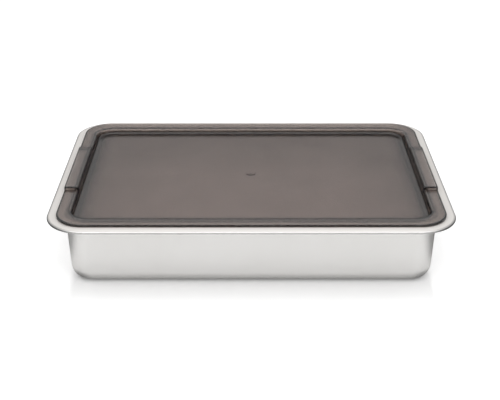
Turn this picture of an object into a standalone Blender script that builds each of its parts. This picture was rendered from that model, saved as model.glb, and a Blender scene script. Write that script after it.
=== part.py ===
"""Marinade pan: a deep-drawn steel pan with a flanged, hemmed rim, and the smoked plastic lid on it.

Metres, +Z up. The origin is the middle of the pan's footprint on the table, +X runs along the long side
and +Y to the back. The pan is one drawn sheet. The lid is one moulding: a flat band that lies on the flange,
a recess that drops into the pan's mouth and keeps the lid in its place, and a raised grip in the band
at the middle of each short side. The lid simply lifts off.
"""

import math

import bmesh
import bpy

# Steel pan, measured over the outside
PAN_LENGTH = 0.3556
PAN_WIDTH = 0.2540
PAN_HEIGHT = 0.0600
SHEET = 0.0008
RIM_CORNER = 0.0345
FLANGE_REACH = 0.0157
WALL_CORNER = 0.0220
WALL_DRAFT = 0.0024
BASE_ROUND = 0.0118
LIP_ROUND = 0.0030
HEM_GAP = 0.0008
HEM_RETURN = 0.0036

# Plastic lid
LID_WALL = 0.0023
LID_REST = 0.0003
LID_MARGIN = 0.0083
LID_CORNER = 0.0255
END_CLEARANCE = 0.0027
SIDE_CLEARANCE = 0.0045
RECESS_DEPTH = 0.0052
RECESS_DRAFT = 0.0005
RECESS_FILLET = 0.0022
BAND_ROUND = 0.0030
PLUG_FILLET = 0.0012
EDGE_ROUND = 0.0007
EDGE_EASE = 0.0003

# Raised grips in the lid's short sides
GRIP_HALF = 0.0480
GRIP_RISE = 0.0029
GRIP_DRAFT = 0.0003
GRIP_ROUND = 0.0008

# Round gate mark in the middle of the lid's panel
GATE_RADIUS = 0.0044
GATE_DEPTH = 0.0005
GATE_FLOOR = 0.0036
NUB_RADIUS = 0.0012
NUB_RISE = 0.0006

# Fineness of the round stretches, and the least corner that a ring may have
CORNER_STEPS = 12
ROUND_STEPS = 6
SMALL_STEPS = 3
LEAST_CORNER = 0.0010
SAME_POINT = 1e-7

# Sizes that follow from the ones above
HEM_HEIGHT = 2 * SHEET + HEM_GAP
MOUTH_INSET = FLANGE_REACH + SHEET
MOUTH_CORNER = WALL_CORNER - SHEET
BAND_WIDTH = MOUTH_INSET + END_CLEARANCE + LID_WALL - LID_MARGIN
PLUG_CORNER = MOUTH_CORNER - END_CLEARANCE


def clear_scene():
    """Take every object out of the open scene."""
    for item in list(bpy.data.objects):
        bpy.data.objects.remove(item)


def material(name, color, roughness, metallic):
    """A Principled material of one finish."""
    made = bpy.data.materials.new(name)
    made.use_nodes = True
    shader = made.node_tree.nodes["Principled BSDF"]
    shader.inputs["Base Color"].default_value = (*color, 1.0)
    shader.inputs["Roughness"].default_value = roughness
    shader.inputs["Metallic"].default_value = metallic
    return made


def rounded(corners):
    """Points along a line of corners, each (a, b, radius, steps). A radius over 0 turns one into an arc.

    An arc is tangent to both legs of its corner. Two arcs share the leg between them in proportion to
    their radii.
    """
    points = []
    for i, (a, b, radius, steps) in enumerate(corners):
        if radius <= 0 or i in (0, len(corners) - 1):
            arc = [(a, b)]
        else:
            before, after = corners[i - 1], corners[i + 1]
            back, ahead = (before[0] - a, before[1] - b), (after[0] - a, after[1] - b)
            leg_back, leg_ahead = math.hypot(*back), math.hypot(*ahead)
            back = (back[0] / leg_back, back[1] / leg_back)
            ahead = (ahead[0] / leg_ahead, ahead[1] / leg_ahead)
            half = math.acos(back[0] * ahead[0] + back[1] * ahead[1]) / 2
            room_back = leg_back * radius / (radius + before[2])
            room_ahead = leg_ahead * radius / (radius + after[2])
            tangent = min(radius / math.tan(half), room_back, room_ahead)
            fitted = tangent * math.tan(half)
            middle = (back[0] + ahead[0], back[1] + ahead[1])
            reach = fitted / math.sin(half) / math.hypot(*middle)
            centre = (a + middle[0] * reach, b + middle[1] * reach)
            start = math.atan2(b + back[1] * tangent - centre[1], a + back[0] * tangent - centre[0])
            end = math.atan2(b + ahead[1] * tangent - centre[1], a + ahead[0] * tangent - centre[0])
            sweep = (end - start + math.pi) % (2 * math.pi) - math.pi
            angles = [start + sweep * k / steps for k in range(steps + 1)]
            arc = [(centre[0] + fitted * math.cos(t), centre[1] + fitted * math.sin(t)) for t in angles]
        for point in arc:
            if not points or math.dist(point, points[-1]) > SAME_POINT:
                points.append(point)
    return points


def rounds_meet(low, high, low_radius, high_radius):
    """The height on an upright wall where its lower round has ended and its upper round starts."""
    return low + (high - low) * low_radius / (low_radius + high_radius) + SAME_POINT


def rectangle_ring(length, width, inset, corner, z, side_stops=()):
    """A rounded rectangle drawn in by inset from length by width, as points counterclockwise from the right.

    side_stops are (y, rise) pairs, from front to back, that put extra points on both short sides, lifted.
    """
    half_x, half_y = length / 2 - inset, width / 2 - inset
    radius = max(corner, LEAST_CORNER)
    points = [(half_x, y, z + rise) for y, rise in side_stops]
    for quarter in range(4):
        if quarter == 2:
            points += [(-half_x, y, z + rise) for y, rise in reversed(side_stops)]
        turn = math.pi / 2 * quarter
        away_x = math.copysign(half_x - radius, math.cos(turn + math.pi / 4))
        away_y = math.copysign(half_y - radius, math.sin(turn + math.pi / 4))
        for step in range(CORNER_STEPS + 1):
            angle = turn + math.pi / 2 * step / CORNER_STEPS
            points.append((away_x + radius * math.cos(angle), away_y + radius * math.sin(angle), z))
    return points


def circle_ring(count, right_stops, radius, z):
    """A circle of count even points, to bridge to a ring that starts with as many points as right_stops."""
    turns = [2 * math.pi * (i - (right_stops - 1) / 2) / count for i in range(count)]
    return [(radius * math.cos(t), radius * math.sin(t), z) for t in turns]


def closed_loft(name, rings, finish):
    """One closed body through a row of rings of equal count, with its first and last ring filled in."""
    mesh = bpy.data.meshes.new(name)
    body = bmesh.new()
    rows = [[body.verts.new(point) for point in ring] for ring in rings]
    count = len(rows[0])
    for lower, upper in zip(rows, rows[1:]):
        for i in range(count):
            j = (i + 1) % count
            body.faces.new((lower[i], lower[j], upper[j], upper[i]))
    body.faces.new(list(reversed(rows[0])))
    body.faces.new(rows[-1])
    bmesh.ops.remove_doubles(body, verts=body.verts, dist=SAME_POINT)
    bmesh.ops.recalc_face_normals(body, faces=body.faces)
    body.to_mesh(mesh)
    body.free()
    mesh.shade_smooth()
    mesh.set_sharp_from_angle(angle=math.radians(35))
    mesh.materials.append(finish)
    made = bpy.data.objects.new(name, mesh)
    bpy.context.collection.objects.link(made)
    return made


def pan_corner(inset):
    """Corner radius of the pan's ring at an inset: the flange's blends to the wall's, which then shrinks."""
    if inset < FLANGE_REACH:
        share = inset / FLANGE_REACH
        return RIM_CORNER + (WALL_CORNER - RIM_CORNER) * share
    return WALL_CORNER - (inset - FLANGE_REACH)


def pan_section():
    """The sheet's closed section, as (inset from the rim, height), from under the base to its inside."""
    foot = FLANGE_REACH + WALL_DRAFT
    flat = foot + BASE_ROUND
    top, under = PAN_HEIGHT, PAN_HEIGHT - SHEET
    hem_low = PAN_HEIGHT - HEM_HEIGHT
    nose = HEM_HEIGHT / 2
    return rounded([
        (flat + SHEET, 0.0, 0, 0),
        (foot, 0.0, BASE_ROUND, ROUND_STEPS),
        (FLANGE_REACH, under, LIP_ROUND - SHEET, SMALL_STEPS),
        (SHEET, under, HEM_GAP / 2, SMALL_STEPS),
        (SHEET, hem_low + SHEET, HEM_GAP / 2, SMALL_STEPS),
        (HEM_RETURN, hem_low + SHEET, 0, 0),
        (HEM_RETURN, hem_low, 0, 0),
        (0.0, hem_low, nose, SMALL_STEPS),
        (0.0, top, nose, SMALL_STEPS),
        (MOUTH_INSET, top, LIP_ROUND, SMALL_STEPS + 1),
        (foot + SHEET, SHEET, BASE_ROUND - SHEET, ROUND_STEPS),
        (flat + SHEET, SHEET, 0, 0),
    ])


def build_pan(finish):
    """The steel pan: its section carried round a rounded rectangle whose corner follows the inset."""
    rings = [
        rectangle_ring(PAN_LENGTH, PAN_WIDTH, inset, pan_corner(inset), z)
        for inset, z in pan_section()
    ]
    return closed_loft("pan", rings, finish)


def lid_corner(inset):
    """Corner radius of the lid's ring at an inset: the edge's blends to the plug's, which then shrinks."""
    plug_inset = BAND_WIDTH - LID_WALL
    if inset < plug_inset:
        return LID_CORNER + (PLUG_CORNER - LID_CORNER) * inset / plug_inset
    return PLUG_CORNER - (inset - plug_inset)


def lid_pinch(inset):
    """How much further in a ring is at the long sides, where the plug has its wider clearance."""
    return (SIDE_CLEARANCE - END_CLEARANCE) * min(inset / (BAND_WIDTH - LID_WALL), 1)


def grip_stops(half, foot_round, crest_round):
    """(y, rise) stops across both end walls of a grip that reaches half to either side, front to back."""
    spread = 4 * GRIP_ROUND
    back = rounded([
        (half - GRIP_DRAFT - spread, GRIP_RISE, 0, 0),
        (half - GRIP_DRAFT, GRIP_RISE, crest_round, SMALL_STEPS),
        (half, 0.0, foot_round, SMALL_STEPS),
        (half + spread, 0.0, 0, 0),
    ])
    return [(-y, rise) for y, rise in reversed(back)] + back


def lid_top_section():
    """The lid's upper skin as (inset from its edge, height over the flange, lifted by the grip)."""
    top = LID_WALL
    panel = top - RECESS_DEPTH
    wall_foot = BAND_WIDTH + RECESS_DRAFT
    line = rounded([
        (wall_foot + RECESS_FILLET + LID_WALL, panel, 0, 0),
        (wall_foot, panel, RECESS_FILLET, ROUND_STEPS),
        (BAND_WIDTH, top, BAND_ROUND, ROUND_STEPS),
        (0.0, top, EDGE_ROUND, SMALL_STEPS),
        (0.0, LID_WALL / 2, 0, 0),
    ])
    split = rounds_meet(panel, top, RECESS_FILLET, BAND_ROUND)
    return [(inset, z, z > split) for inset, z in line[:-1]]


def lid_under_section():
    """The lid's lower skin as (inset from its edge, height over the flange, lifted by the grip)."""
    panel = -RECESS_DEPTH
    wall_foot = BAND_WIDTH + RECESS_DRAFT - LID_WALL
    outer_fillet = RECESS_FILLET + LID_WALL
    line = rounded([
        (0.0, LID_WALL / 2, 0, 0),
        (0.0, 0.0, EDGE_EASE, SMALL_STEPS - 1),
        (BAND_WIDTH - LID_WALL, 0.0, PLUG_FILLET, SMALL_STEPS + 1),
        (wall_foot, panel, outer_fillet, ROUND_STEPS),
        (wall_foot + outer_fillet + LID_WALL, panel, 0, 0),
    ])
    split = rounds_meet(panel, 0.0, outer_fillet, PLUG_FILLET)
    return [(inset, z, z > split) for inset, z in line]


def lid_skin(section, stops):
    """The rings of one of the lid's skins. Those that the section marks as lifted rise with the stops."""
    length, width = PAN_LENGTH - 2 * LID_MARGIN, PAN_WIDTH - 2 * LID_MARGIN
    rings = []
    for inset, z, lifted in section:
        ring_width = width - 2 * lid_pinch(inset)
        side_stops = [(y, rise * lifted) for y, rise in stops]
        rings.append(rectangle_ring(length, ring_width, inset, lid_corner(inset), z, side_stops))
    return rings


def build_lid(finish):
    """The lid: gate mark, panel, recess wall and band, round the edge and back along the underside."""
    over = grip_stops(GRIP_HALF, GRIP_ROUND / 2, GRIP_ROUND)
    under = grip_stops(GRIP_HALF - LID_WALL, GRIP_ROUND, GRIP_ROUND / 2)
    upper = lid_skin(lid_top_section(), over)
    lower = lid_skin(lid_under_section(), under)
    panel = LID_WALL - RECESS_DEPTH
    floor = panel - GATE_DEPTH
    gate = [
        circle_ring(len(upper[0]), len(over), radius, z)
        for radius, z in (
            (NUB_RADIUS / 2, floor + NUB_RISE),
            (NUB_RADIUS, floor + NUB_RISE / 2),
            (NUB_RADIUS, floor),
            (GATE_FLOOR, floor),
            (GATE_RADIUS, panel),
        )
    ]
    lid = closed_loft("lid", gate + upper + lower, finish)
    lid.location = (0.0, 0.0, PAN_HEIGHT + LID_REST)
    return lid


def build():
    """Make both pieces with their finishes."""
    clear_scene()
    steel = material("satin_steel", (0.74, 0.73, 0.71), 0.32, 1.0)
    smoke = material("smoked_plastic", (0.052, 0.046, 0.043), 0.36, 0.0)
    build_pan(steel)
    build_lid(smoke)


build()
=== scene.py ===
"""The looks of the marinade pan: a satin steel pan and its smoked plastic lid, on a pale studio floor.

Metres, +Z up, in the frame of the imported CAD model. Both pieces are fine surfaces that stand for the CAD
nodes of the same names: a section line, rounded at its corners, is carried round a rounded rectangle. The
sizes are the CAD model's own, and the outer length, width and height are read from the frame's boxes.
"""

import logging
import math
from collections.abc import Sequence
from dataclasses import dataclass
from enum import Enum
from typing import Any

import bpy
import numpy as np
from mathutils import Matrix, Vector


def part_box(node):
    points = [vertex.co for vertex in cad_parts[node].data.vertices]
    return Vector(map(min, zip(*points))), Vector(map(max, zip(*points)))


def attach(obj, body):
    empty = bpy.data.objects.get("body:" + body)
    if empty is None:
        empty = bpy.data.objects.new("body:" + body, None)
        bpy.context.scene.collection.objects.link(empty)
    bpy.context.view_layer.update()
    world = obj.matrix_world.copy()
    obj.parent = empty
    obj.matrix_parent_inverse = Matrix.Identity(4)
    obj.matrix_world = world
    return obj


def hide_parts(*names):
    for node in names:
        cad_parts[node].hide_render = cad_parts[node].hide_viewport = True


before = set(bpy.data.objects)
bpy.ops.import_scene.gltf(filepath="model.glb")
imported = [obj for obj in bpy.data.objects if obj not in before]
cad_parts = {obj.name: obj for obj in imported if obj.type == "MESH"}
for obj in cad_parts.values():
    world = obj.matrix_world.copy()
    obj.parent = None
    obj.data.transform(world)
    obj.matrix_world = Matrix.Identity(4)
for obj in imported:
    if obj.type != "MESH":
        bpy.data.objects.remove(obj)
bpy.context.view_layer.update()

log = logging.getLogger("marinade_pan")

Array = np.ndarray
Socket = bpy.types.NodeSocket
Span = tuple[float, float]
Triple = tuple[float, float, float]
Colour = Triple

# Points nearer than SAME_POINT are one point, and heights nearer than LEVEL are one height. SUPPORT is how
# far a support point is from its corner, and SEAT_GAP how far the lid is above the flange, so that the two
# don't touch. EVEN is the middle of a noise.
SAME_POINT = 1e-7
LEVEL = 0.0001
SUPPORT = 0.0003
SEAT_GAP = 0.0003
EVEN = 0.5
QUARTER_TURN = math.pi / 2
BLACK: Colour = (0.0, 0.0, 0.0)
WHITE: Colour = (1.0, 1.0, 1.0)


class Body(Enum):
    """The CAD bodies that pieces ride on."""

    PAN = "pan"
    LID = "lid"


class Slot(Enum):
    """The record's material slots."""

    STEEL = "satin_steel"
    SMOKE = "smoked_plastic"


# Sections and the rim that they are carried round


@dataclass(frozen=True)
class Bend:
    """One corner of a section line, with the radius and the number of steps that round it."""

    inset: float
    height: float
    radius: float = 0.0
    steps: int = 1


def arc_at(before: Bend, bend: Bend, after: Bend) -> Array:
    """The arc that rounds one corner of a section line.

    It is tangent to both legs, and two arcs share the leg between them in proportion to their radii. Its
    points are centre + radius * (cos t, sin t), with t even from one tangent point's bearing to the other's.

    Args:
        before: The corner before it.
        bend: The corner itself.
        after: The corner after it.

    Returns:
        The arc's points, one row each, or the corner alone where it has no radius.
    """
    spot = np.array((bend.inset, bend.height))
    if bend.radius <= 0:
        return spot[None]
    back = np.array((before.inset, before.height)) - spot
    ahead = np.array((after.inset, after.height)) - spot
    leg_back, leg_ahead = np.hypot(*back), np.hypot(*ahead)
    back, ahead = back / leg_back, ahead / leg_ahead
    half = math.acos(float(back @ ahead)) / 2
    room_back = leg_back * bend.radius / (bend.radius + before.radius)
    room_ahead = leg_ahead * bend.radius / (bend.radius + after.radius)
    tangent = min(bend.radius / math.tan(half), room_back, room_ahead)
    radius = tangent * math.tan(half)
    middle = back + ahead
    centre = spot + middle * radius / math.sin(half) / np.hypot(*middle)
    start, end = (math.atan2(*(spot + leg * tangent - centre)[::-1]) for leg in (back, ahead))
    sweep = (end - start + math.pi) % (2 * math.pi) - math.pi
    turn = start + sweep * np.linspace(0, 1, bend.steps + 1)
    return centre + radius * np.stack((np.cos(turn), np.sin(turn)), axis=1)


def rounded_line(bends: Sequence[Bend]) -> Array:
    """A section line with its corners rounded.

    Each straight stretch gets a support point near both ends, so that it stays flat when it is shaded.

    Args:
        bends: The line's corners, from one end to the other.

    Returns:
        The line's points, one (inset, height) row each, with no point twice.
    """
    ends = [np.array([(b.inset, b.height)]) for b in (bends[0], bends[-1])]
    runs = [ends[0], *(arc_at(*three) for three in zip(bends, bends[1:], bends[2:])), ends[1]]
    line = [runs[0]]
    for run in runs[1:]:
        gap = run[0] - line[-1][-1]
        reach = np.hypot(*gap)
        if reach > 4 * SUPPORT:
            step = gap * SUPPORT / reach
            line += [line[-1][-1:] + step, run[:1] - step]
        line.append(run)
    joined = np.concatenate(line)
    return joined[np.r_[True, np.hypot(*np.diff(joined, axis=0).T) > SAME_POINT]]


@dataclass(frozen=True)
class Stops:
    """Extra columns across both short sides of a rim: how far back each is, and how far it is lifted."""

    back: Array
    rise: Array


@dataclass(frozen=True)
class Rim:
    """A rounded rectangle, seen from above, that a section line is carried round.

    A column keeps its share of each straight side or its bearing in each corner, whatever the ring's inset.
    """

    length: float
    width: float
    corner_steps: int = 24
    long_shares: tuple[float, ...] = (0.99, 0.93, 0.7, 0.35, 0.0, -0.35, -0.7, -0.93, -0.99)
    short_shares: tuple[float, ...] = (0.99, 0.93)

    def columns(self, stops: Stops) -> tuple[Array, Array, Array, Array, Array, Array]:
        """The columns, counterclockwise from the front end of the right side.

        Args:
            stops: The extra columns of the short sides.

        Returns:
            The column's side along X and along Y as a share of the way from the middle to a corner's
            centre, the cosine and sine of its bearing from that centre, the fixed place along Y of a stop
            (elsewhere nan), and its lift.
        """
        near = np.array(self.short_shares)
        rows = []
        for quarter in range(4):
            turn = quarter * QUARTER_TURN
            axis_x, axis_y = round(math.cos(turn)), round(math.sin(turn))
            if quarter % 2 == 0:
                order = slice(None) if axis_x > 0 else slice(None, None, -1)
                share = np.r_[-near, np.zeros(len(stops.back)), near[::-1]] * axis_x
                fixed = np.full(len(share), np.nan)
                fixed[len(near):-len(near)] = stops.back[order]
                rise = np.zeros(len(share))
                rise[len(near):-len(near)] = stops.rise[order]
                side = np.full(len(share), float(axis_x))
                rows.append((side, share, side, 0 * side, fixed, rise))
            else:
                share = np.array(self.long_shares) * axis_y
                side = np.full(len(share), float(axis_y))
                empty = np.full(len(share), np.nan)
                rows.append((share, side, 0 * side, side, empty, 0 * side))
            bearing = turn + np.linspace(0, QUARTER_TURN, self.corner_steps + 1)
            middle = turn + QUARTER_TURN / 2
            one = np.ones(len(bearing))
            rows.append((
                one * math.copysign(1, math.cos(middle)), one * math.copysign(1, math.sin(middle)),
                np.cos(bearing), np.sin(bearing), one * np.nan, 0 * one,
            ))
        return tuple(np.concatenate(part) for part in zip(*rows))

    def carry(
        self, inset: Array, pinch: Array, corner: Array, height: Array, lifted: Array, stops: Stops,
    ) -> Array:
        """Carry a section line round the rim.

        A point is at side * (half side - inset - corner) + corner * (cos, sin) of its bearing, at the
        section's height plus the column's lift on the rows that are lifted.

        Args:
            inset: How far each row is drawn in from the rim.
            pinch: How much further each row is drawn in from the long sides.
            corner: The corner radius of each row.
            height: The height of each row.
            lifted: 1 on the rows that rise with the columns, and 0 on the others.
            stops: The extra columns of the short sides.

        Returns:
            The surface's points, as rows by columns by (x, y, z).
        """
        side_x, side_y, cosine, sine, fixed, rise = self.columns(stops)
        reach_x = (self.length / 2 - inset - corner)[:, None]
        reach_y = (self.width / 2 - inset - pinch - corner)[:, None]
        x = side_x * reach_x + corner[:, None] * cosine
        y = side_y * reach_y + corner[:, None] * sine
        y = np.where(np.isnan(fixed), y, np.nan_to_num(fixed))
        z = height[:, None] + lifted[:, None] * rise
        return np.stack(np.broadcast_arrays(x, y, z), axis=2)


def circles(radius: Array, height: Array, count: int, right_stops: int) -> Array:
    """Circles about the middle, as rows of a surface: radius * (cos t, sin t), with t even round each row.

    Args:
        radius: The radius of each row.
        height: The height of each row.
        count: The number of columns.
        right_stops: The number of columns on the right side of the rim that the circles meet.

    Returns:
        The points, as rows by columns by (x, y, z).
    """
    turn = 2 * math.pi * (np.arange(count) - (right_stops - 1) / 2) / count
    x, y = radius[:, None] * np.cos(turn), radius[:, None] * np.sin(turn)
    return np.stack(np.broadcast_arrays(x, y, height[:, None]), axis=2)


def between(first: Array, last: Array, shares: Sequence[float]) -> Array:
    """Rows that run straight from one ring to another: first + share * (last - first).

    Args:
        first: The ring at share 0.
        last: The ring at share 1.
        shares: Where the rows are.

    Returns:
        The points, as rows by columns by (x, y, z).
    """
    share = np.array(shares)[:, None, None]
    return first + share * (last - first)


@dataclass(frozen=True)
class Shell:
    """One closed body: rings from the middle of its underside, over its rim, to the middle of its top."""

    name: str
    rows: Array
    masks: dict[str, Array]

    def build(self) -> bpy.types.Object:
        """Make the body's mesh.

        Every two neighbouring points of two neighbouring rings make one quad. A fan closes each end.

        Returns:
            The body's object, with a UV map of metres round and across the rim, and its masks as attributes.
        """
        count, around = self.rows.shape[:2]
        poles = np.stack((self.rows[0].mean(0), self.rows[-1].mean(0)))
        spots = np.concatenate((self.rows.reshape(-1, 3), poles))
        index = np.arange(count * around).reshape(count, around)
        step = np.roll(index, -1, axis=1)
        quads = np.stack((index[:-1], step[:-1], step[1:], index[1:]), axis=2).reshape(-1, 4)
        low = np.stack((np.full(around, count * around), step[0], index[0]), axis=1)
        high = np.stack((index[-1], step[-1], np.full(around, count * around + 1)), axis=1)
        mesh = bpy.data.meshes.new(self.name)
        mesh.from_pydata(spots.tolist(), [], quads.tolist() + low.tolist() + high.tolist())
        mesh.uv_layers.new(name="rim").uv.foreach_set("vector", self.rim_map().astype(np.float32).ravel())
        for name, mask in self.masks.items():
            values = np.r_[np.repeat(mask, around), mask[0], mask[-1]].astype(np.float32)
            mesh.attributes.new(name, "FLOAT", "POINT").data.foreach_set("value", values)
        mesh.shade_smooth()
        mesh.validate()
        made = bpy.data.objects.new(self.name, mesh)
        bpy.context.scene.collection.objects.link(made)
        return made

    def rim_map(self) -> Array:
        """The body's UV map: metres round the rim's widest ring, and metres across the section.

        Returns:
            One (u, v) row for each face corner, in the order of the faces.
        """
        count, around = self.rows.shape[:2]
        widest = self.rows[np.argmax(self.rows[:, 0, 0])]
        hops = np.hypot(*(np.roll(widest, -1, axis=0) - widest)[:, :2].T)
        u = np.r_[0, np.cumsum(hops)]
        v = np.r_[0, np.cumsum(np.linalg.norm(np.diff(self.rows[:, 0], axis=0), axis=1))]
        left, right = np.tile(u[:-1], (count - 1, 1)), np.tile(u[1:], (count - 1, 1))
        low, high = np.tile(v[:-1, None], (1, around)), np.tile(v[1:, None], (1, around))
        quads = np.stack((left, low, right, low, right, high, left, high), axis=2).reshape(-1, 2)
        fans = [
            np.stack((u[:-1], level, u[1:], level, u[:-1], level), axis=1).reshape(-1, 2)
            for level in (np.full(around, v[0]), np.full(around, v[-1]))
        ]
        return np.concatenate((quads, *fans))


# Shader maths


class Shade:
    """A number socket that takes part in Python arithmetic, where each operation adds a Math node."""

    def __init__(self, tree: "FinishTree", socket: Socket) -> None:
        """Wrap a socket of a finish's tree."""
        self.tree = tree
        self.socket = socket

    def maths(self, operation: str, *values: Any) -> "Shade":
        """The result of a Math node.

        Args:
            operation: The Math node's operation.
            *values: What goes into it, as sockets or numbers.

        Returns:
            Its output.
        """
        return self.tree.number("ShaderNodeMath", {"operation": operation}, dict(enumerate(values)))

    def __add__(self, other: Any) -> "Shade":
        """Sum."""
        return self.maths("ADD", self, other)

    __radd__ = __add__

    def __mul__(self, other: Any) -> "Shade":
        """Product."""
        return self.maths("MULTIPLY", self, other)

    __rmul__ = __mul__

    def __sub__(self, other: Any) -> "Shade":
        """Difference."""
        return self.maths("SUBTRACT", self, other)

    def __rsub__(self, other: Any) -> "Shade":
        """Difference from a number."""
        return self.maths("SUBTRACT", other, self)

    def __abs__(self) -> "Shade":
        """Size without the sign."""
        return self.maths("ABSOLUTE", self)

    def larger(self, other: Any) -> "Shade":
        """The larger of two numbers."""
        return self.maths("MAXIMUM", self, other)

    def smaller(self, other: Any) -> "Shade":
        """The smaller of two numbers."""
        return self.maths("MINIMUM", self, other)

    def blend(self, low: float, high: float) -> "Shade":
        """The number low where it is 0, high where it is 1, and even between."""
        return self * (high - low) + low

    def ramp(self, low: float, high: float) -> "Shade":
        """0 below low, 1 above high, with a smooth rise between."""
        inputs = {"Value": self, "From Min": low, "From Max": high}
        return self.tree.number("ShaderNodeMapRange", {"interpolation_type": "SMOOTHSTEP"}, inputs)


@dataclass(frozen=True)
class Noise:
    """A smooth noise: its cells in a metre along each axis, its finer octaves and how strong these are."""

    cells: Triple
    detail: float = 1.0
    rough: float = 0.5


class FinishTree:
    """The nodes of one material or of the world, all made by one method."""

    def __init__(self, owner: bpy.types.Material | bpy.types.World) -> None:
        """Empty the owner's node tree and take it over.

        Args:
            owner: The material or the world.
        """
        owner.use_nodes = True
        self.owner = owner
        self.tree = owner.node_tree
        self.tree.nodes.clear()

    def node(self, kind: str, settings: dict[str, Any], inputs: dict[Any, Any]) -> bpy.types.Node:
        """Make a node.

        Args:
            kind: The node's type.
            settings: Its properties, which are set first.
            inputs: Values or links of its sockets, by name or number.

        Returns:
            The node.
        """
        made = self.tree.nodes.new(kind)
        for name, value in settings.items():
            setattr(made, name, value)
        for name, value in inputs.items():
            socket = made.inputs[name]
            value = value.socket if isinstance(value, Shade) else value
            if isinstance(value, Socket):
                self.tree.links.new(value, socket)
            elif socket.type == "RGBA":
                socket.default_value = (*value, 1.0)
            else:
                socket.default_value = value
        return made

    def number(self, kind: str, settings: dict[str, Any], inputs: dict[Any, Any], output: Any = 0) -> Shade:
        """Make a node and give one of its outputs as a number that takes part in arithmetic."""
        return Shade(self, self.node(kind, settings, inputs).outputs[output])

    def mask(self, name: str) -> Shade:
        """One of the piece's own masks."""
        return self.number("ShaderNodeAttribute", {"attribute_name": name}, {}, "Fac")

    def place(self) -> Socket:
        """The object's own coordinates, in metres."""
        return self.node("ShaderNodeTexCoord", {}, {}).outputs["Object"]

    def axes(self, place: Socket) -> tuple[Shade, ...]:
        """The x, y and z of coordinates."""
        parts = self.node("ShaderNodeSeparateXYZ", {}, {0: place}).outputs
        return tuple(Shade(self, part) for part in parts)

    def rays(self, *kinds: str) -> tuple[Shade, ...]:
        """Whether a ray is of each of these kinds, as 1 or 0."""
        path = self.node("ShaderNodeLightPath", {}, {}).outputs
        return tuple(Shade(self, path[kind]) for kind in kinds)

    def noise(self, place: Socket, noise: Noise) -> Shade:
        """Smooth noise about 0.5.

        Args:
            place: The coordinates that it reads, in metres.
            noise: Its size and strength.

        Returns:
            The noise.
        """
        stretched = self.node("ShaderNodeVectorMath", {"operation": "MULTIPLY"}, {0: place, 1: noise.cells})
        inputs = {
            "Vector": stretched.outputs[0], "Scale": 1.0, "Detail": noise.detail, "Roughness": noise.rough,
        }
        return self.number("ShaderNodeTexNoise", {"noise_dimensions": "3D"}, inputs)

    def mix(self, share: Any, first: Any, second: Any) -> Socket:
        """One colour mixed into another."""
        return self.node("ShaderNodeMix", {"data_type": "RGBA"}, {0: share, 6: first, 7: second}).outputs[2]

    def mix_number(self, share: Any, first: Any, second: Any) -> Shade:
        """One number mixed into another."""
        return self.number("ShaderNodeMix", {"data_type": "FLOAT"}, {0: share, 2: first, 3: second})

    def bump(self, height: Shade, strength: float, distance: float) -> Socket:
        """The normal of a surface with fine relief."""
        inputs = {"Strength": strength, "Distance": distance, "Height": height}
        return self.node("ShaderNodeBump", {}, inputs).outputs[0]

    def output(self, shader: bpy.types.Node, **others: Any) -> None:
        """Send a shader to the tree's output."""
        owner = "World" if isinstance(self.owner, bpy.types.World) else "Material"
        self.node(f"ShaderNodeOutput{owner}", {}, {"Surface": shader.outputs[0], **others})


# Finishes


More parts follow.
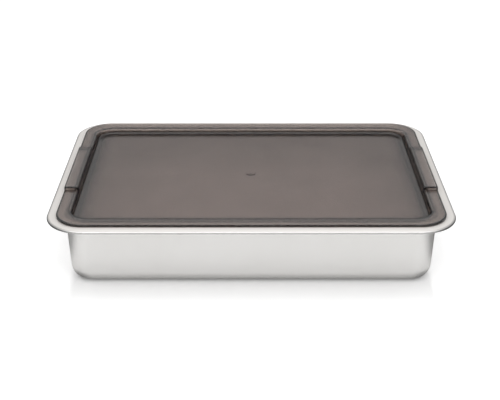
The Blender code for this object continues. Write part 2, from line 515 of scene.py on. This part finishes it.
@dataclass(frozen=True)
class SatinSteel:
    """Drawn stainless steel: a satin grain that runs round the walls and flange and along the floor.

    The flange's upper face is pale and hardly mirrors. Painted light makes it bright along the long sides,
    brightest at the back, and it is warmer and dimmer at the ends. The hem's nose is smooth, with a painted
    dark reflection on it, faint along the long sides and darkest at the corners and ends. The fold under
    it is grey with painted shade.
    """

    name: str = "satin_steel"
    colour: Colour = (0.79, 0.78, 0.765)
    shade: Colour = (0.75, 0.74, 0.72)
    warm: Colour = (0.685, 0.66, 0.635)
    # The next colour is painted light on the flange's long sides; front_bright below is its share at the
    # front.
    bright: Colour = (0.94, 0.905, 0.875)
    # The next colour is painted shade in the fold under the hem.
    fold: Colour = (0.58, 0.575, 0.57)
    # The next colour is a painted dark reflection on the hem's nose.
    painted_nose_reflection: Colour = (0.08, 0.08, 0.078)
    end_ramp: Span = (0.140, 0.172)
    corner_ramp: Span = (0.085, 0.115)
    front_bright: float = 0.5
    # How much painted dark reflection lies on the nose: side_dark along the long sides, middle_dark in the
    # middle of the ends.
    side_dark: float = 0.2
    middle_dark: float = 0.8
    metallic: float = 0.7
    flange_metallic: float = 0.10
    roughness: float = 0.46
    grain_swing: float = 0.10
    patch_swing: float = 0.05
    nose_polish: float = 0.20
    fine: Noise = Noise((70.0, 2600.0, 2600.0))
    broad: Noise = Noise((18.0, 520.0, 520.0))
    fine_share: float = 0.6
    cloud: Noise = Noise((14.0, 14.0, 14.0), 3.0, 0.6)
    cloud_ramp: Span = (0.35, 0.75)
    cloud_share: float = 0.5
    patch: Noise = Noise((45.0, 45.0, 45.0), 2.0)
    grain_height: float = 0.00002
    grain_strength: float = 0.35

    def tint(self, tree: FinishTree, place: Socket) -> Socket:
        """The steel's colour, with each tone laid over those before it.

        Args:
            tree: The finish's nodes.
            place: The pan's coordinates.

        Returns:
            The colour.
        """
        x, y, _ = tree.axes(place)
        end, near, back = (
            abs(x).ramp(*self.end_ramp), abs(y).ramp(*self.corner_ramp), y.ramp(*self.corner_ramp))
        flange = tree.mask("flange")
        ends = end * near.blend(self.middle_dark, 1.0)
        colour = self.colour
        for share, tone in (
            (tree.noise(place, self.cloud).ramp(*self.cloud_ramp) * self.cloud_share, self.shade),
            (flange, self.warm),
            # Painted light on the flange's long sides, strongest at the back.
            (flange * near * (1 - end) * back.blend(self.front_bright, 1.0), self.bright),
            # Painted shade in the fold under the hem.
            (tree.mask("fold"), self.fold),
            # Painted dark reflection on the hem's nose, faint along the long sides and full at the corners.
            (tree.mask("nose") * ends.blend(self.side_dark, 1.0), self.painted_nose_reflection),
        ):
            colour = tree.mix(share, colour, tone)
        return colour

    def build(self) -> bpy.types.Material:
        """Make the finish. The grain follows X on the floor and the rim's UV map on the walls and flange.

        Returns:
            The material.
        """
        made = bpy.data.materials.new(self.name)
        tree = FinishTree(made)
        place = tree.place()
        rim = tree.node("ShaderNodeUVMap", {"uv_map": "rim"}, {}).outputs[0]
        fine, broad = (
            tree.mix_number(tree.mask("wall"), tree.noise(place, noise), tree.noise(rim, noise))
            for noise in (self.fine, self.broad)
        )
        grain = fine * self.fine_share + broad * (1 - self.fine_share)
        roughness = (
            self.roughness + (grain - EVEN) * self.grain_swing
            + (tree.noise(place, self.patch) - EVEN) * self.patch_swing
            - tree.mask("nose") * self.nose_polish
        )
        shader = tree.node("ShaderNodeBsdfPrincipled", {}, {
            "Base Color": self.tint(tree, place),
            "Metallic": tree.mix_number(tree.mask("flange"), self.metallic, self.flange_metallic),
            "Roughness": roughness,
            "Normal": tree.bump(grain, self.grain_strength, self.grain_height),
        })
        tree.output(shader)
        return made


@dataclass(frozen=True)
class SmokedPlastic:
    """Smoked translucent plastic: a fine satin skin with faint flow clouds, and the smoke in its volume.

    Painted shade darkens its outlines, where black in its colour lets hardly any light through: the recess's
    foot and crest, the edge at the lid's ends, the lines where the grips end, and the near half of the gate
    mark.
    """

    name: str = "smoked_plastic"
    colour: Colour = (1.0, 0.98, 0.96)
    flow: Colour = (0.94, 0.92, 0.90)
    # The band's tint is less red than the panel's colour: it stands in for the band's stronger sheen, a
    # painted sheen.
    band: Colour = (0.90, 0.955, 0.935)
    smoke: Colour = (0.235, 0.057, 0.012)
    smoke_density: float = 270.0
    refractive_index: float = 1.5
    # Depths of the painted shade on the lid's outlines; the ramps and grip_end below say where it lies at
    # the ends and grips.
    foot_depth: float = 0.95
    crest_depth: float = 0.95
    edge_depth: float = 1.0
    step_depth: float = 0.9
    mark_depth: float = 0.8
    end_ramp: Span = (0.140, 0.160)
    grip_ramp: Span = (0.1555, 0.1575)
    grip_end: float = 0.0464
    step_ramp: Span = (0.0004, 0.0011)
    mark_ramp: Span = (0.0, 0.003)
    panel_roughness: float = 0.24
    band_roughness: float = 0.18
    cloud: Noise = Noise((16.0, 16.0, 16.0), 3.0, 0.6)
    cloud_ramp: Span = (0.3, 0.75)
    cloud_swing: float = 0.06
    pores: Noise = Noise((700.0, 700.0, 700.0))
    pore_swing: float = 0.05
    grit: Noise = Noise((2200.0, 2200.0, 2200.0), 2.0, 0.6)
    band_grit: float = 0.3
    texture_height: float = 0.00001
    texture_strength: float = 0.4

    def clear_of_painted_shade(self, tree: FinishTree, place: Socket) -> Shade:
        """How free the skin is of painted shade: the product of 1 - mask * depth over all its outlines.

        Args:
            tree: The finish's nodes.
            place: The lid's coordinates.

        Returns:
            1 where no shade is painted, and near 0 on its outlines, where painted shade darkens it.
        """
        x, y, _ = tree.axes(place)
        side = abs(x)
        # Painted shade on the lines where the grips end, then on the recess's foot and crest, the edge at
        # the ends and the gate mark's near half.
        step = (1 - abs(abs(y) - self.grip_end).ramp(*self.step_ramp)) * side.ramp(*self.grip_ramp)
        clear = 1 - step * self.step_depth
        for mask, depth in (
            (tree.mask("foot"), self.foot_depth),
            (tree.mask("crest"), self.crest_depth),
            (tree.mask("edge") * side.ramp(*self.end_ramp), self.edge_depth),
            (tree.mask("mark") * (0 - y).ramp(*self.mark_ramp), self.mark_depth),
        ):
            clear = clear * (1 - mask * depth)
        return clear

    def build(self) -> bpy.types.Material:
        """Make the finish.

        Returns:
            The material.
        """
        made = bpy.data.materials.new(self.name)
        tree = FinishTree(made)
        place = tree.place()
        panel = tree.mask("panel")
        cloud, pores, grit = (tree.noise(place, noise) for noise in (self.cloud, self.pores, self.grit))
        face = tree.mix(cloud.ramp(*self.cloud_ramp), self.colour, self.flow)
        # Painted shade: black mixed into the colour on the lid's outlines.
        colour = tree.mix(1 - self.clear_of_painted_shade(tree, place), tree.mix(panel, self.band, face), BLACK)
        roughness = (
            tree.mix_number(panel, self.band_roughness, self.panel_roughness)
            + (cloud - EVEN) * self.cloud_swing + (pores - EVEN) * self.pore_swing
        )
        height = grit * panel.blend(self.band_grit, 1.0)
        shader = tree.node("ShaderNodeBsdfPrincipled", {}, {
            "Base Color": colour,
            "Roughness": roughness,
            "IOR": self.refractive_index,
            "Transmission Weight": 1.0,
            "Normal": tree.bump(height, self.texture_strength, self.texture_height),
        })
        inside = {"Color": self.smoke, "Density": self.smoke_density}
        tree.output(shader, Volume=tree.node("ShaderNodeVolumeAbsorption", {}, inside).outputs[0])
        return made


# Pieces


@dataclass(frozen=True)
class SteelPan:
    """The pan: one drawn sheet with a flat base, drafted walls, a turned-out flange and a hemmed rim."""

    length: float
    width: float
    height: float
    sheet: float = 0.0008
    rim_corner: float = 0.0345
    flange_reach: float = 0.0157
    wall_corner: float = 0.0220
    wall_draft: float = 0.0024
    base_round: float = 0.0118
    lip_round: float = 0.0030
    hem_gap: float = 0.0008
    hem_return: float = 0.0036
    cut_ease: float = 0.0001
    floor_shares: tuple[float, ...] = (0.02, 0.25, 0.5, 0.75, 0.92, 0.985)
    end_columns: tuple[float, ...] = (-0.06, -0.03, 0.0, 0.03, 0.06)

    @property
    def hem(self) -> float:
        """The whole height of the hem: two sheets and the gap between them."""
        return 2 * self.sheet + self.hem_gap

    @property
    def foot(self) -> float:
        """How far in the outside of the walls meets the base."""
        return self.flange_reach + self.wall_draft

    @property
    def flat(self) -> float:
        """How far in the base's round ends."""
        return self.foot + self.base_round

    def corner(self, inset: Array) -> Array:
        """The corner radius: the flange's blends to the wall's, then shrinks with the inset.

        Args:
            inset: How far in each row is.

        Returns:
            The radius of each row.
        """
        share = np.minimum(inset / self.flange_reach, 1)
        blend = self.rim_corner + (self.wall_corner - self.rim_corner) * share
        return blend - np.maximum(inset - self.flange_reach, 0)

    def section(self) -> Array:
        """The sheet's closed section, from under the base, round the hem, to the floor inside.

        Returns:
            Its points, one (inset, height) row each.
        """
        top, under = self.height, self.height - self.sheet
        low = self.height - 2 * self.sheet - self.hem_gap
        nose = (top - low) / 2
        ease = self.cut_ease
        return rounded_line([
            Bend(self.flat + self.sheet, 0.0),
            Bend(self.foot, 0.0, self.base_round, 14),
            Bend(self.flange_reach, under, self.lip_round - self.sheet, 8),
            Bend(self.sheet, under, self.hem_gap / 2, 6),
            Bend(self.sheet, low + self.sheet, self.hem_gap / 2, 6),
            Bend(self.hem_return, low + self.sheet, ease, 2),
            Bend(self.hem_return, low, ease, 2),
            Bend(0.0, low, nose, 8),
            Bend(0.0, top, nose, 8),
            Bend(2 * nose, top),
            Bend(self.flange_reach + self.sheet, top, self.lip_round, 10),
            Bend(self.foot + self.sheet, self.sheet, self.base_round - self.sheet, 14),
            Bend(self.flat + self.sheet, self.sheet),
        ])

    def masks(self, inset: Array, height: Array) -> dict[str, Array]:
        """Masks of the walls, of the hem's nose, of the fold under the rim and of the flange's upper face.

        Args:
            inset: How far in each ring of the section is.
            height: How high it is.

        Returns:
            A mask's value for each ring of the pan, by its name.
        """
        masks = {
            "wall": np.clip((self.flat - inset) / self.base_round, 0, 1),
            # nose: where the finish polishes the steel and lays a painted dark reflection.
            "nose": np.clip(1 - inset / self.hem, 0, 1),
            # fold: where the finish paints shade under the hem.
            "fold": (height < self.height - self.hem / 2) & (inset < self.sheet),
            # flange: where the finish lays its warm tone and painted light.
            "flange": (height > self.height - LEVEL) & (inset > self.sheet),
        }
        floor = np.zeros(len(self.floor_shares))
        return {name: np.r_[floor, mask, floor] for name, mask in masks.items()}

    def build(self) -> bpy.types.Object:
        """Make the pan's closed surface, with its masks.

        Returns:
            The pan, without its finish.
        """
        inset, height = self.section().T
        stops = Stops(np.array(self.end_columns), np.zeros(len(self.end_columns)))
        body = Rim(self.length, self.width).carry(
            inset, 0 * inset, self.corner(inset), height, 0 * inset, stops)
        middle = body.mean(axis=1, keepdims=True)
        under = between(middle[0], body[0], self.floor_shares)
        inside = between(middle[-1], body[-1], self.floor_shares[::-1])
        rows = np.concatenate((under, body, inside))
        return Shell("steel_pan", rows, self.masks(inset, height)).build()

    def dress(self, finish: SatinSteel) -> bpy.types.Object:
        """Build the pan, give it its finish and put it on its body.

        Args:
            finish: The steel's finish.

        Returns:
            The finished piece.
        """
        made = self.build()
        made.data.materials.append(finish.build())
        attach(made, Body.PAN.value)
        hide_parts("pan")
        return made


@dataclass(frozen=True)
class SmokedLid:
    """The lid: one moulding with a flat band, a sunken panel, two raised grips and a gate mark.

    Heights are over its seat, which is its underside at the band. top_middle and under_middle are the radii
    of the smallest rings of its two skins. The fields from foot_height on are sizes of its masks.
    """

    length: float
    width: float
    seat: float
    wall: float = 0.0023
    plug_corner: float = 0.0185
    corner_radius: float = 0.0255
    band_width: float = 0.0132
    long_band_width: float = 0.0150
    recess_depth: float = 0.0052
    recess_draft: float = 0.0005
    recess_fillet: float = 0.0022
    band_round: float = 0.0030
    plug_fillet: float = 0.0012
    edge_round: float = 0.0007
    edge_ease: float = 0.0003
    grip_half: float = 0.0480
    grip_rise: float = 0.0029
    grip_draft: float = 0.0003
    grip_round: float = 0.0008
    grip_spread: float = 0.0032
    gate_radius: float = 0.0044
    gate_crown: float = 0.0034
    gate_rise: float = 0.0005
    gate_round: float = 0.0004
    nub_radius: float = 0.0012
    nub_top: float = 0.00084
    nub_rise: float = 0.0003
    nub_foot: float = 0.0002
    nub_round: float = 0.0003
    top_middle: float = 0.0001
    under_middle: float = 0.0005
    panel_shares: tuple[float, ...] = (0.03, 0.1, 0.25, 0.45, 0.7, 0.88, 0.91, 0.94, 0.965, 0.985)
    foot_height: float = 0.0026
    foot_reach: float = 0.0140
    crest_place: float = 0.0030
    crest_reach: float = 0.0020
    mark_reach: float = 0.0012
    edge_dark: float = 0.0010
    edge_reach: float = 0.0018

    @property
    def plug(self) -> float:
        """How far in the outside of the recess's wall meets the band."""
        return self.band_width - self.wall

    @property
    def panel(self) -> float:
        """The height of the panel's upper face."""
        return self.wall - self.recess_depth

    def corner(self, inset: Array) -> Array:
        """The corner radius: the edge's blends to the recess's, then shrinks with the inset.

        Args:
            inset: How far in each row is.

        Returns:
            The radius of each row.
        """
        share = np.minimum(inset / self.plug, 1)
        blend = self.corner_radius + (self.plug_corner - self.corner_radius) * share
        return blend - np.maximum(inset - self.plug, 0)

    def pinch(self, inset: Array) -> Array:
        """How much further in a row is at the long sides: nothing at the edge, and all of it at the plug."""
        return (self.long_band_width - self.band_width) * np.minimum(inset / self.plug, 1)

    def grip(self, half: float, foot: float, crest: float) -> Stops:
        """The columns across both end walls of a grip.

        Args:
            half: Half of the grip's length at its foot.
            foot: The radius where a wall meets the band.
            crest: The radius where it meets the grip's top.

        Returns:
            The stops, from front to back.
        """
        line = rounded_line([
            Bend(0.0, self.grip_rise),
            Bend(half / 2, self.grip_rise),
            Bend(half - self.grip_draft - self.grip_spread, self.grip_rise),
            Bend(half - self.grip_draft, self.grip_rise, crest, 6),
            Bend(half, 0.0, foot, 6),
            Bend(half + self.grip_spread, 0.0),
        ])
        back, rise = line.T
        return Stops(np.r_[-back[:0:-1], back], np.r_[rise[:0:-1], rise])

    def top_section(self) -> Array:
        """The section of the upper skin, from the edge to the panel.

        Returns:
            Its points, one (inset, height) row each.
        """
        foot = self.band_width + self.recess_draft
        flat = self.band_width - self.crest_place - self.crest_reach
        return rounded_line([
            Bend(0.0, self.wall / 2),
            Bend(0.0, self.wall, self.edge_round, 6),
            Bend(self.edge_dark, self.wall),
            Bend(self.edge_reach, self.wall),
            Bend(flat - self.crest_reach, self.wall),
            Bend(flat, self.wall),
            Bend(flat + self.crest_reach / 2, self.wall),
            Bend(self.band_width, self.wall, self.band_round, 8),
            Bend(foot, self.panel, self.recess_fillet, 10),
            Bend(foot + self.recess_fillet + self.wall, self.panel),
        ])

    def under_section(self) -> Array:
        """The section of the lower skin, from under the panel to the edge.

        Returns:
            Its points, one (inset, height) row each.
        """
        foot = self.plug + self.recess_draft
        fillet = self.recess_fillet + self.wall
        return rounded_line([
            Bend(foot + fillet + self.wall, -self.recess_depth),
            Bend(foot, -self.recess_depth, fillet, 12),
            Bend(self.plug, 0.0, self.plug_fillet, 8),
            Bend(0.0, 0.0, self.edge_ease, 3),
            Bend(0.0, self.wall / 2),
        ])

    def gate_section(self) -> Array:
        """The section of the gate mark, a low round with a nub on it, from the panel to the nub's top.

        Returns:
            Its points, one (radius, height) row each.
        """
        crown = self.panel + self.gate_rise
        top = crown + self.nub_rise
        return rounded_line([
            Bend(2 * self.gate_radius, self.panel),
            Bend(self.gate_radius, self.panel, self.gate_round, 5),
            Bend(self.gate_crown, crown, self.gate_round, 5),
            Bend(self.nub_radius, crown, self.nub_foot, 3),
            Bend(self.nub_top, top, self.nub_round, 4),
            Bend(self.top_middle, top),
        ])

    def split(self, low: float, high: float, low_radius: float, high_radius: float) -> float:
        """The height, between the recess wall's two rounds, above which a skin rises with the grips."""
        return low + (high - low) * low_radius / (low_radius + high_radius) + SAME_POINT

    def skin(self, line: Array, stops: Stops, split: float) -> Array:
        """Carry the upper or the lower skin round the lid's rim.

        Args:
            line: The skin's section.
            stops: The columns of its grips.
            split: The height above which it rises with them.

        Returns:
            Its points, as rows by columns by (x, y, z).
        """
        inset, height = line.T
        lifted = (height > split).astype(float)
        return Rim(self.length, self.width).carry(
            inset, self.pinch(inset), self.corner(inset), self.seat + height, lifted, stops)

    def build(self) -> bpy.types.Object:
        """Make the lid's closed surface, with its masks.

        Returns:
            The lid, without its finish.
        """
        over = self.grip(self.grip_half, self.grip_round / 2, self.grip_round)
        under = self.grip(self.grip_half - self.wall, self.grip_round, self.grip_round / 2)
        lower = self.skin(self.under_section(), under, self.split(
            -self.recess_depth, 0.0, self.recess_fillet + self.wall, self.plug_fillet))
        upper = self.skin(self.top_section()[1:], over, self.split(
            self.panel, self.wall, self.recess_fillet, self.band_round))
        around = upper.shape[1]
        right = len(over.back) + 2 * len(Rim.short_shares)
        radius, height = self.gate_section().T
        gate = circles(radius, self.seat + height, around, right)
        core = circles(np.array((self.under_middle,)), lower[0, :1, 2], around, right)
        beneath = between(core[0], lower[0], (0.0, *self.panel_shares))
        face = between(gate[0], upper[-1], self.panel_shares[::-1])
        rows = np.concatenate((beneath, lower, upper, face, gate))
        return Shell("smoked_lid", rows, self.masks(len(beneath) + len(lower))).build()

    def masks(self, under: int) -> dict[str, Array]:
        """Masks of the panel, of the recess's foot and crest, of the lid's edge and of the gate mark.

        The finish paints shade through the foot's, crest's, edge's and mark's masks. The foot's mask is 1 at
        the foot of the recess's wall. It is gone at foot_height up the wall and at foot_reach along the
        panel.
        The crest's is 1 at crest_place before the wall, and is gone crest_reach from there. The edge's is 1
        up to edge_dark from the edge, and is gone at edge_reach. The mark's is 1 halfway down the round's
        slope, and is gone mark_reach from there.

        Args:
            under: How many rings the underside has.

        Returns:
            A mask's value for each ring of the lid, by its name.
        """
        inset, height = self.top_section()[1:].T
        beyond = inset - self.band_width
        sunk = np.clip(beyond / self.recess_fillet, 0, 1)
        wall = np.where(beyond > 0, np.clip(2 - 2 * (height - self.panel) / self.foot_height, 0, 1), 0)
        crest = np.clip(1 - np.abs(beyond + self.crest_place) / self.crest_reach, 0, 1)
        edge = np.clip((self.edge_reach - inset) / (self.edge_reach - self.edge_dark), 0, 1)
        across = (1 - np.array(self.panel_shares[::-1])) * self.width / 2
        face = np.clip(1 - across / self.foot_reach, 0, 1) ** 2
        slope = (self.gate_radius + self.gate_crown) / 2
        mark = np.clip(1 - np.abs(self.gate_section()[:, 0] - slope) / self.mark_reach, 0, 1)
        below, skin, flat, gate = np.zeros(under), 0 * edge, 0 * face, 0 * mark
        return {
            "panel": np.r_[below + 1, sunk, flat + 1, gate + 1],
            "foot": np.r_[below, wall, face, gate],
            "crest": np.r_[below, crest, flat, gate],
            "edge": np.r_[below, edge, flat, gate],
            "mark": np.r_[below, skin, flat, mark],
        }

    def dress(self, finish: SmokedPlastic) -> bpy.types.Object:
        """Build the lid, give it its finish and put it on its body.

        Args:
            finish: The plastic's finish.

        Returns:
            The finished piece.
        """
        made = self.build()
        made.data.materials.append(finish.build())
        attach(made, Body.LID.value)
        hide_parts("lid")
        return made


# Studio


@dataclass(frozen=True)
class Studio:
    """A pale floor, a pale surround, one large soft lamp overhead, and the camera of the photograph.

    foot_side and foot_front are half the length and half the width of the pan's foot, which the floor's
    glow and its contact shade go round. The camera's turns are in degrees, and its lens is in millimetres.
    """

    floor_reach: float = 6.0
    floor_colour: Colour = (0.92, 0.92, 0.92)
    foot_side: float = 0.1535
    foot_front: float = 0.107
    # The glow is weaker close to the pan (near_glow) than away from it (far_glow): a painted shadow round
    # the pan's foot.
    near_glow: float = 0.13
    far_glow: float = 0.36
    glow_start: float = 0.014
    glow_reach: float = 0.060
    glow_narrow: float = 8.0
    floor_shine: float = 0.25
    contact_reach: float = 0.014
    contact_depth: float = 0.4
    contact_wide: float = 0.5
    contact_ends: Span = (0.135, 0.155)
    flag_start: float = 0.0995
    flag_reach: float = 0.05
    flag_slant: float = 0.9
    flag_shift: float = 0.0045
    flag_end: float = 0.30
    flag_fade: float = 0.08
    table_half: float = 0.40
    table_edge: float = 0.25
    dark_floor: float = 0.04
    fill: float = 0.55
    low_glow: float = 0.06
    high_glow: float = 1.02
    low_height: float = 0.16
    high_height: float = 0.48
    top_glow: float = 0.10
    top_height: float = 0.80
    lamp_power: float = 17.0
    lamp_size: Span = (2.4, 2.0)
    lamp_place: Triple = (0.0, -0.45, 1.30)
    lens: float = 75.78
    camera_place: Triple = (-0.004149, -0.914913, 0.464035)
    pitch: float = 25.3944
    yaw: float = 0.2028
    roll: float = 0.0648

    def flags(self, x: Shade, y: Shade) -> Shade:
        """The dark flags at both sides of the pan, whose inner edges slant outwards to the front.

        They go by |x + shift| + min(y, 0) * slant, and end flag_fade past flag_end.

        Args:
            x: The floor's x.
            y: The floor's y.

        Returns:
            1 on the flags, and 0 elsewhere.
        """
        aside = abs(x + self.flag_shift) + y.smaller(0.0) * self.flag_slant
        ended = abs(x).ramp(self.flag_end, self.flag_end + self.flag_fade)
        return aside.ramp(self.flag_start, self.flag_start + self.flag_reach) * (1 - ended)

    def contact(self, side: Shade, front: Shade) -> Shade:
        """The shade that the pan's foot casts on the floor close to it, deepest at the ends.

        Args:
            side: How far out to the side a place is from the pan's middle.
            front: How far it is before or behind the pan's foot.

        Returns:
            The shade's depth.
        """
        close = ((side - self.foot_side) * self.contact_wide).larger(front)
        depth = side.ramp(*self.contact_ends).blend(self.contact_depth, 1.0)
        return (1 - close.ramp(0.0, self.contact_reach)) * depth

    def dress_floor(self) -> bpy.types.Material:
        """The floor's finish: matt and pale, with a glow that is weaker close to the pan.

        The eye sees the whole glow. Reflections see a weak one, on a table of a limited width with a dark
        room beyond it, dark flags at the pan's sides and a contact shade at its foot.

        Returns:
            The material.
        """
        made = bpy.data.materials.new("pale_floor")
        tree = FinishTree(made)
        eye, shine = tree.rays("Is Camera Ray", "Is Glossy Ray")
        x, y, _ = tree.axes(tree.place())
        side, front = abs(x), abs(y) - self.foot_front
        room = side.larger(y).ramp(self.table_half, self.table_half + self.table_edge)
        dark = room.larger(self.flags(x, y)).larger(self.contact(side, front)) * shine
        gap = ((side - self.foot_side) * self.glow_narrow).larger(front)
        far = gap.ramp(self.glow_start, self.glow_start + self.glow_reach)
        # The eye's glow dims close to the pan: painted shadow round its foot.
        strength = eye * far.blend(self.near_glow, self.far_glow) + shine * far * self.floor_shine
        matt = tree.node("ShaderNodeBsdfDiffuse", {}, {"Color": self.floor_colour})
        glow, dim = (
            tree.node("ShaderNodeEmission", {}, {"Color": WHITE, "Strength": power})
            for power in (strength, self.dark_floor)
        )
        table = tree.node("ShaderNodeAddShader", {}, {0: matt.outputs[0], 1: glow.outputs[0]})
        tree.output(tree.node("ShaderNodeMixShader", {}, {0: dark, 1: table.outputs[0], 2: dim.outputs[0]}))
        return made

    def build_floor(self) -> bpy.types.Object:
        """The floor: a flat sheet that keeps the object's shadow.

        Returns:
            The floor.
        """
        half = self.floor_reach / 2
        mesh = bpy.data.meshes.new("floor")
        spots = [(-half, -half, 0.0), (half, -half, 0.0), (half, half, 0.0), (-half, half, 0.0)]
        mesh.from_pydata(spots, [], [(0, 1, 2, 3)])
        made = bpy.data.objects.new("floor", mesh)
        bpy.context.scene.collection.objects.link(made)
        mesh.materials.append(self.dress_floor())
        return made

    def build_surround(self) -> None:
        """The world: white to the eye, and an even fill on matt surfaces.

        Reflections and refractions see it dark low down and bright high up.
        """
        world = bpy.data.worlds.new("surround")
        bpy.context.scene.world = world
        tree = FinishTree(world)
        eye, shine, through = tree.rays("Is Camera Ray", "Is Glossy Ray", "Is Transmission Ray")
        way = tree.node("ShaderNodeTexCoord", {}, {}).outputs["Generated"]
        _, _, height = tree.axes(way)
        sky = height.ramp(self.low_height, self.high_height).blend(self.low_glow, self.high_glow)
        sky = sky + height.ramp(self.high_height, self.top_height) * self.top_glow
        strength = tree.mix_number(eye, tree.mix_number(shine.larger(through), self.fill, sky), 1.0)
        tree.output(tree.node("ShaderNodeBackground", {}, {"Color": WHITE, "Strength": strength}))

    def build_lamp(self) -> bpy.types.Object:
        """The soft lamp, level overhead.

        Returns:
            The lamp.
        """
        lamp = bpy.data.lights.new("overhead", "AREA")
        lamp.shape = "RECTANGLE"
        lamp.size, lamp.size_y = self.lamp_size
        lamp.energy = self.lamp_power
        made = bpy.data.objects.new("overhead", lamp)
        made.location = self.lamp_place
        bpy.context.scene.collection.objects.link(made)
        return made

    def build_camera(self) -> bpy.types.Object:
        """The camera at the photograph's angle, turned by yaw, then pitch, then roll.

        Returns:
            The camera.
        """
        camera = bpy.data.cameras.new("camera")
        camera.lens = self.lens
        made = bpy.data.objects.new("camera", camera)
        turn = (
            Matrix.Rotation(-math.radians(self.yaw), 4, "Z")
            @ Matrix.Rotation(math.radians(90 - self.pitch), 4, "X")
            @ Matrix.Rotation(math.radians(self.roll), 4, "Z")
        )
        made.matrix_world = Matrix.Translation(Vector(self.camera_place)) @ turn
        bpy.context.scene.collection.objects.link(made)
        bpy.context.scene.camera = made
        return made

    def build(self) -> None:
        """Set up the whole studio."""
        self.build_floor()
        self.build_surround()
        self.build_lamp()
        self.build_camera()
        bpy.context.scene.view_settings.view_transform = "Standard"


def report(piece: bpy.types.Object) -> None:
    """Log a piece's name and its count of faces."""
    log.info("%s: %d faces", piece.name, len(piece.data.polygons))


def main() -> None:
    """Build both pieces and the studio."""
    logging.basicConfig(level=logging.INFO, format="%(name)s %(message)s")
    pan_low, pan_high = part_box("pan")
    lid_low, lid_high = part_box("lid")
    pan_size = pan_high - pan_low
    lid_size = lid_high - lid_low
    report(SteelPan(pan_size.x, pan_size.y, pan_size.z).dress(SatinSteel()))
    report(SmokedLid(lid_size.x, lid_size.y, pan_size.z + SEAT_GAP).dress(SmokedPlastic()))
    Studio().build()


if __name__ == "__main__":
    main()
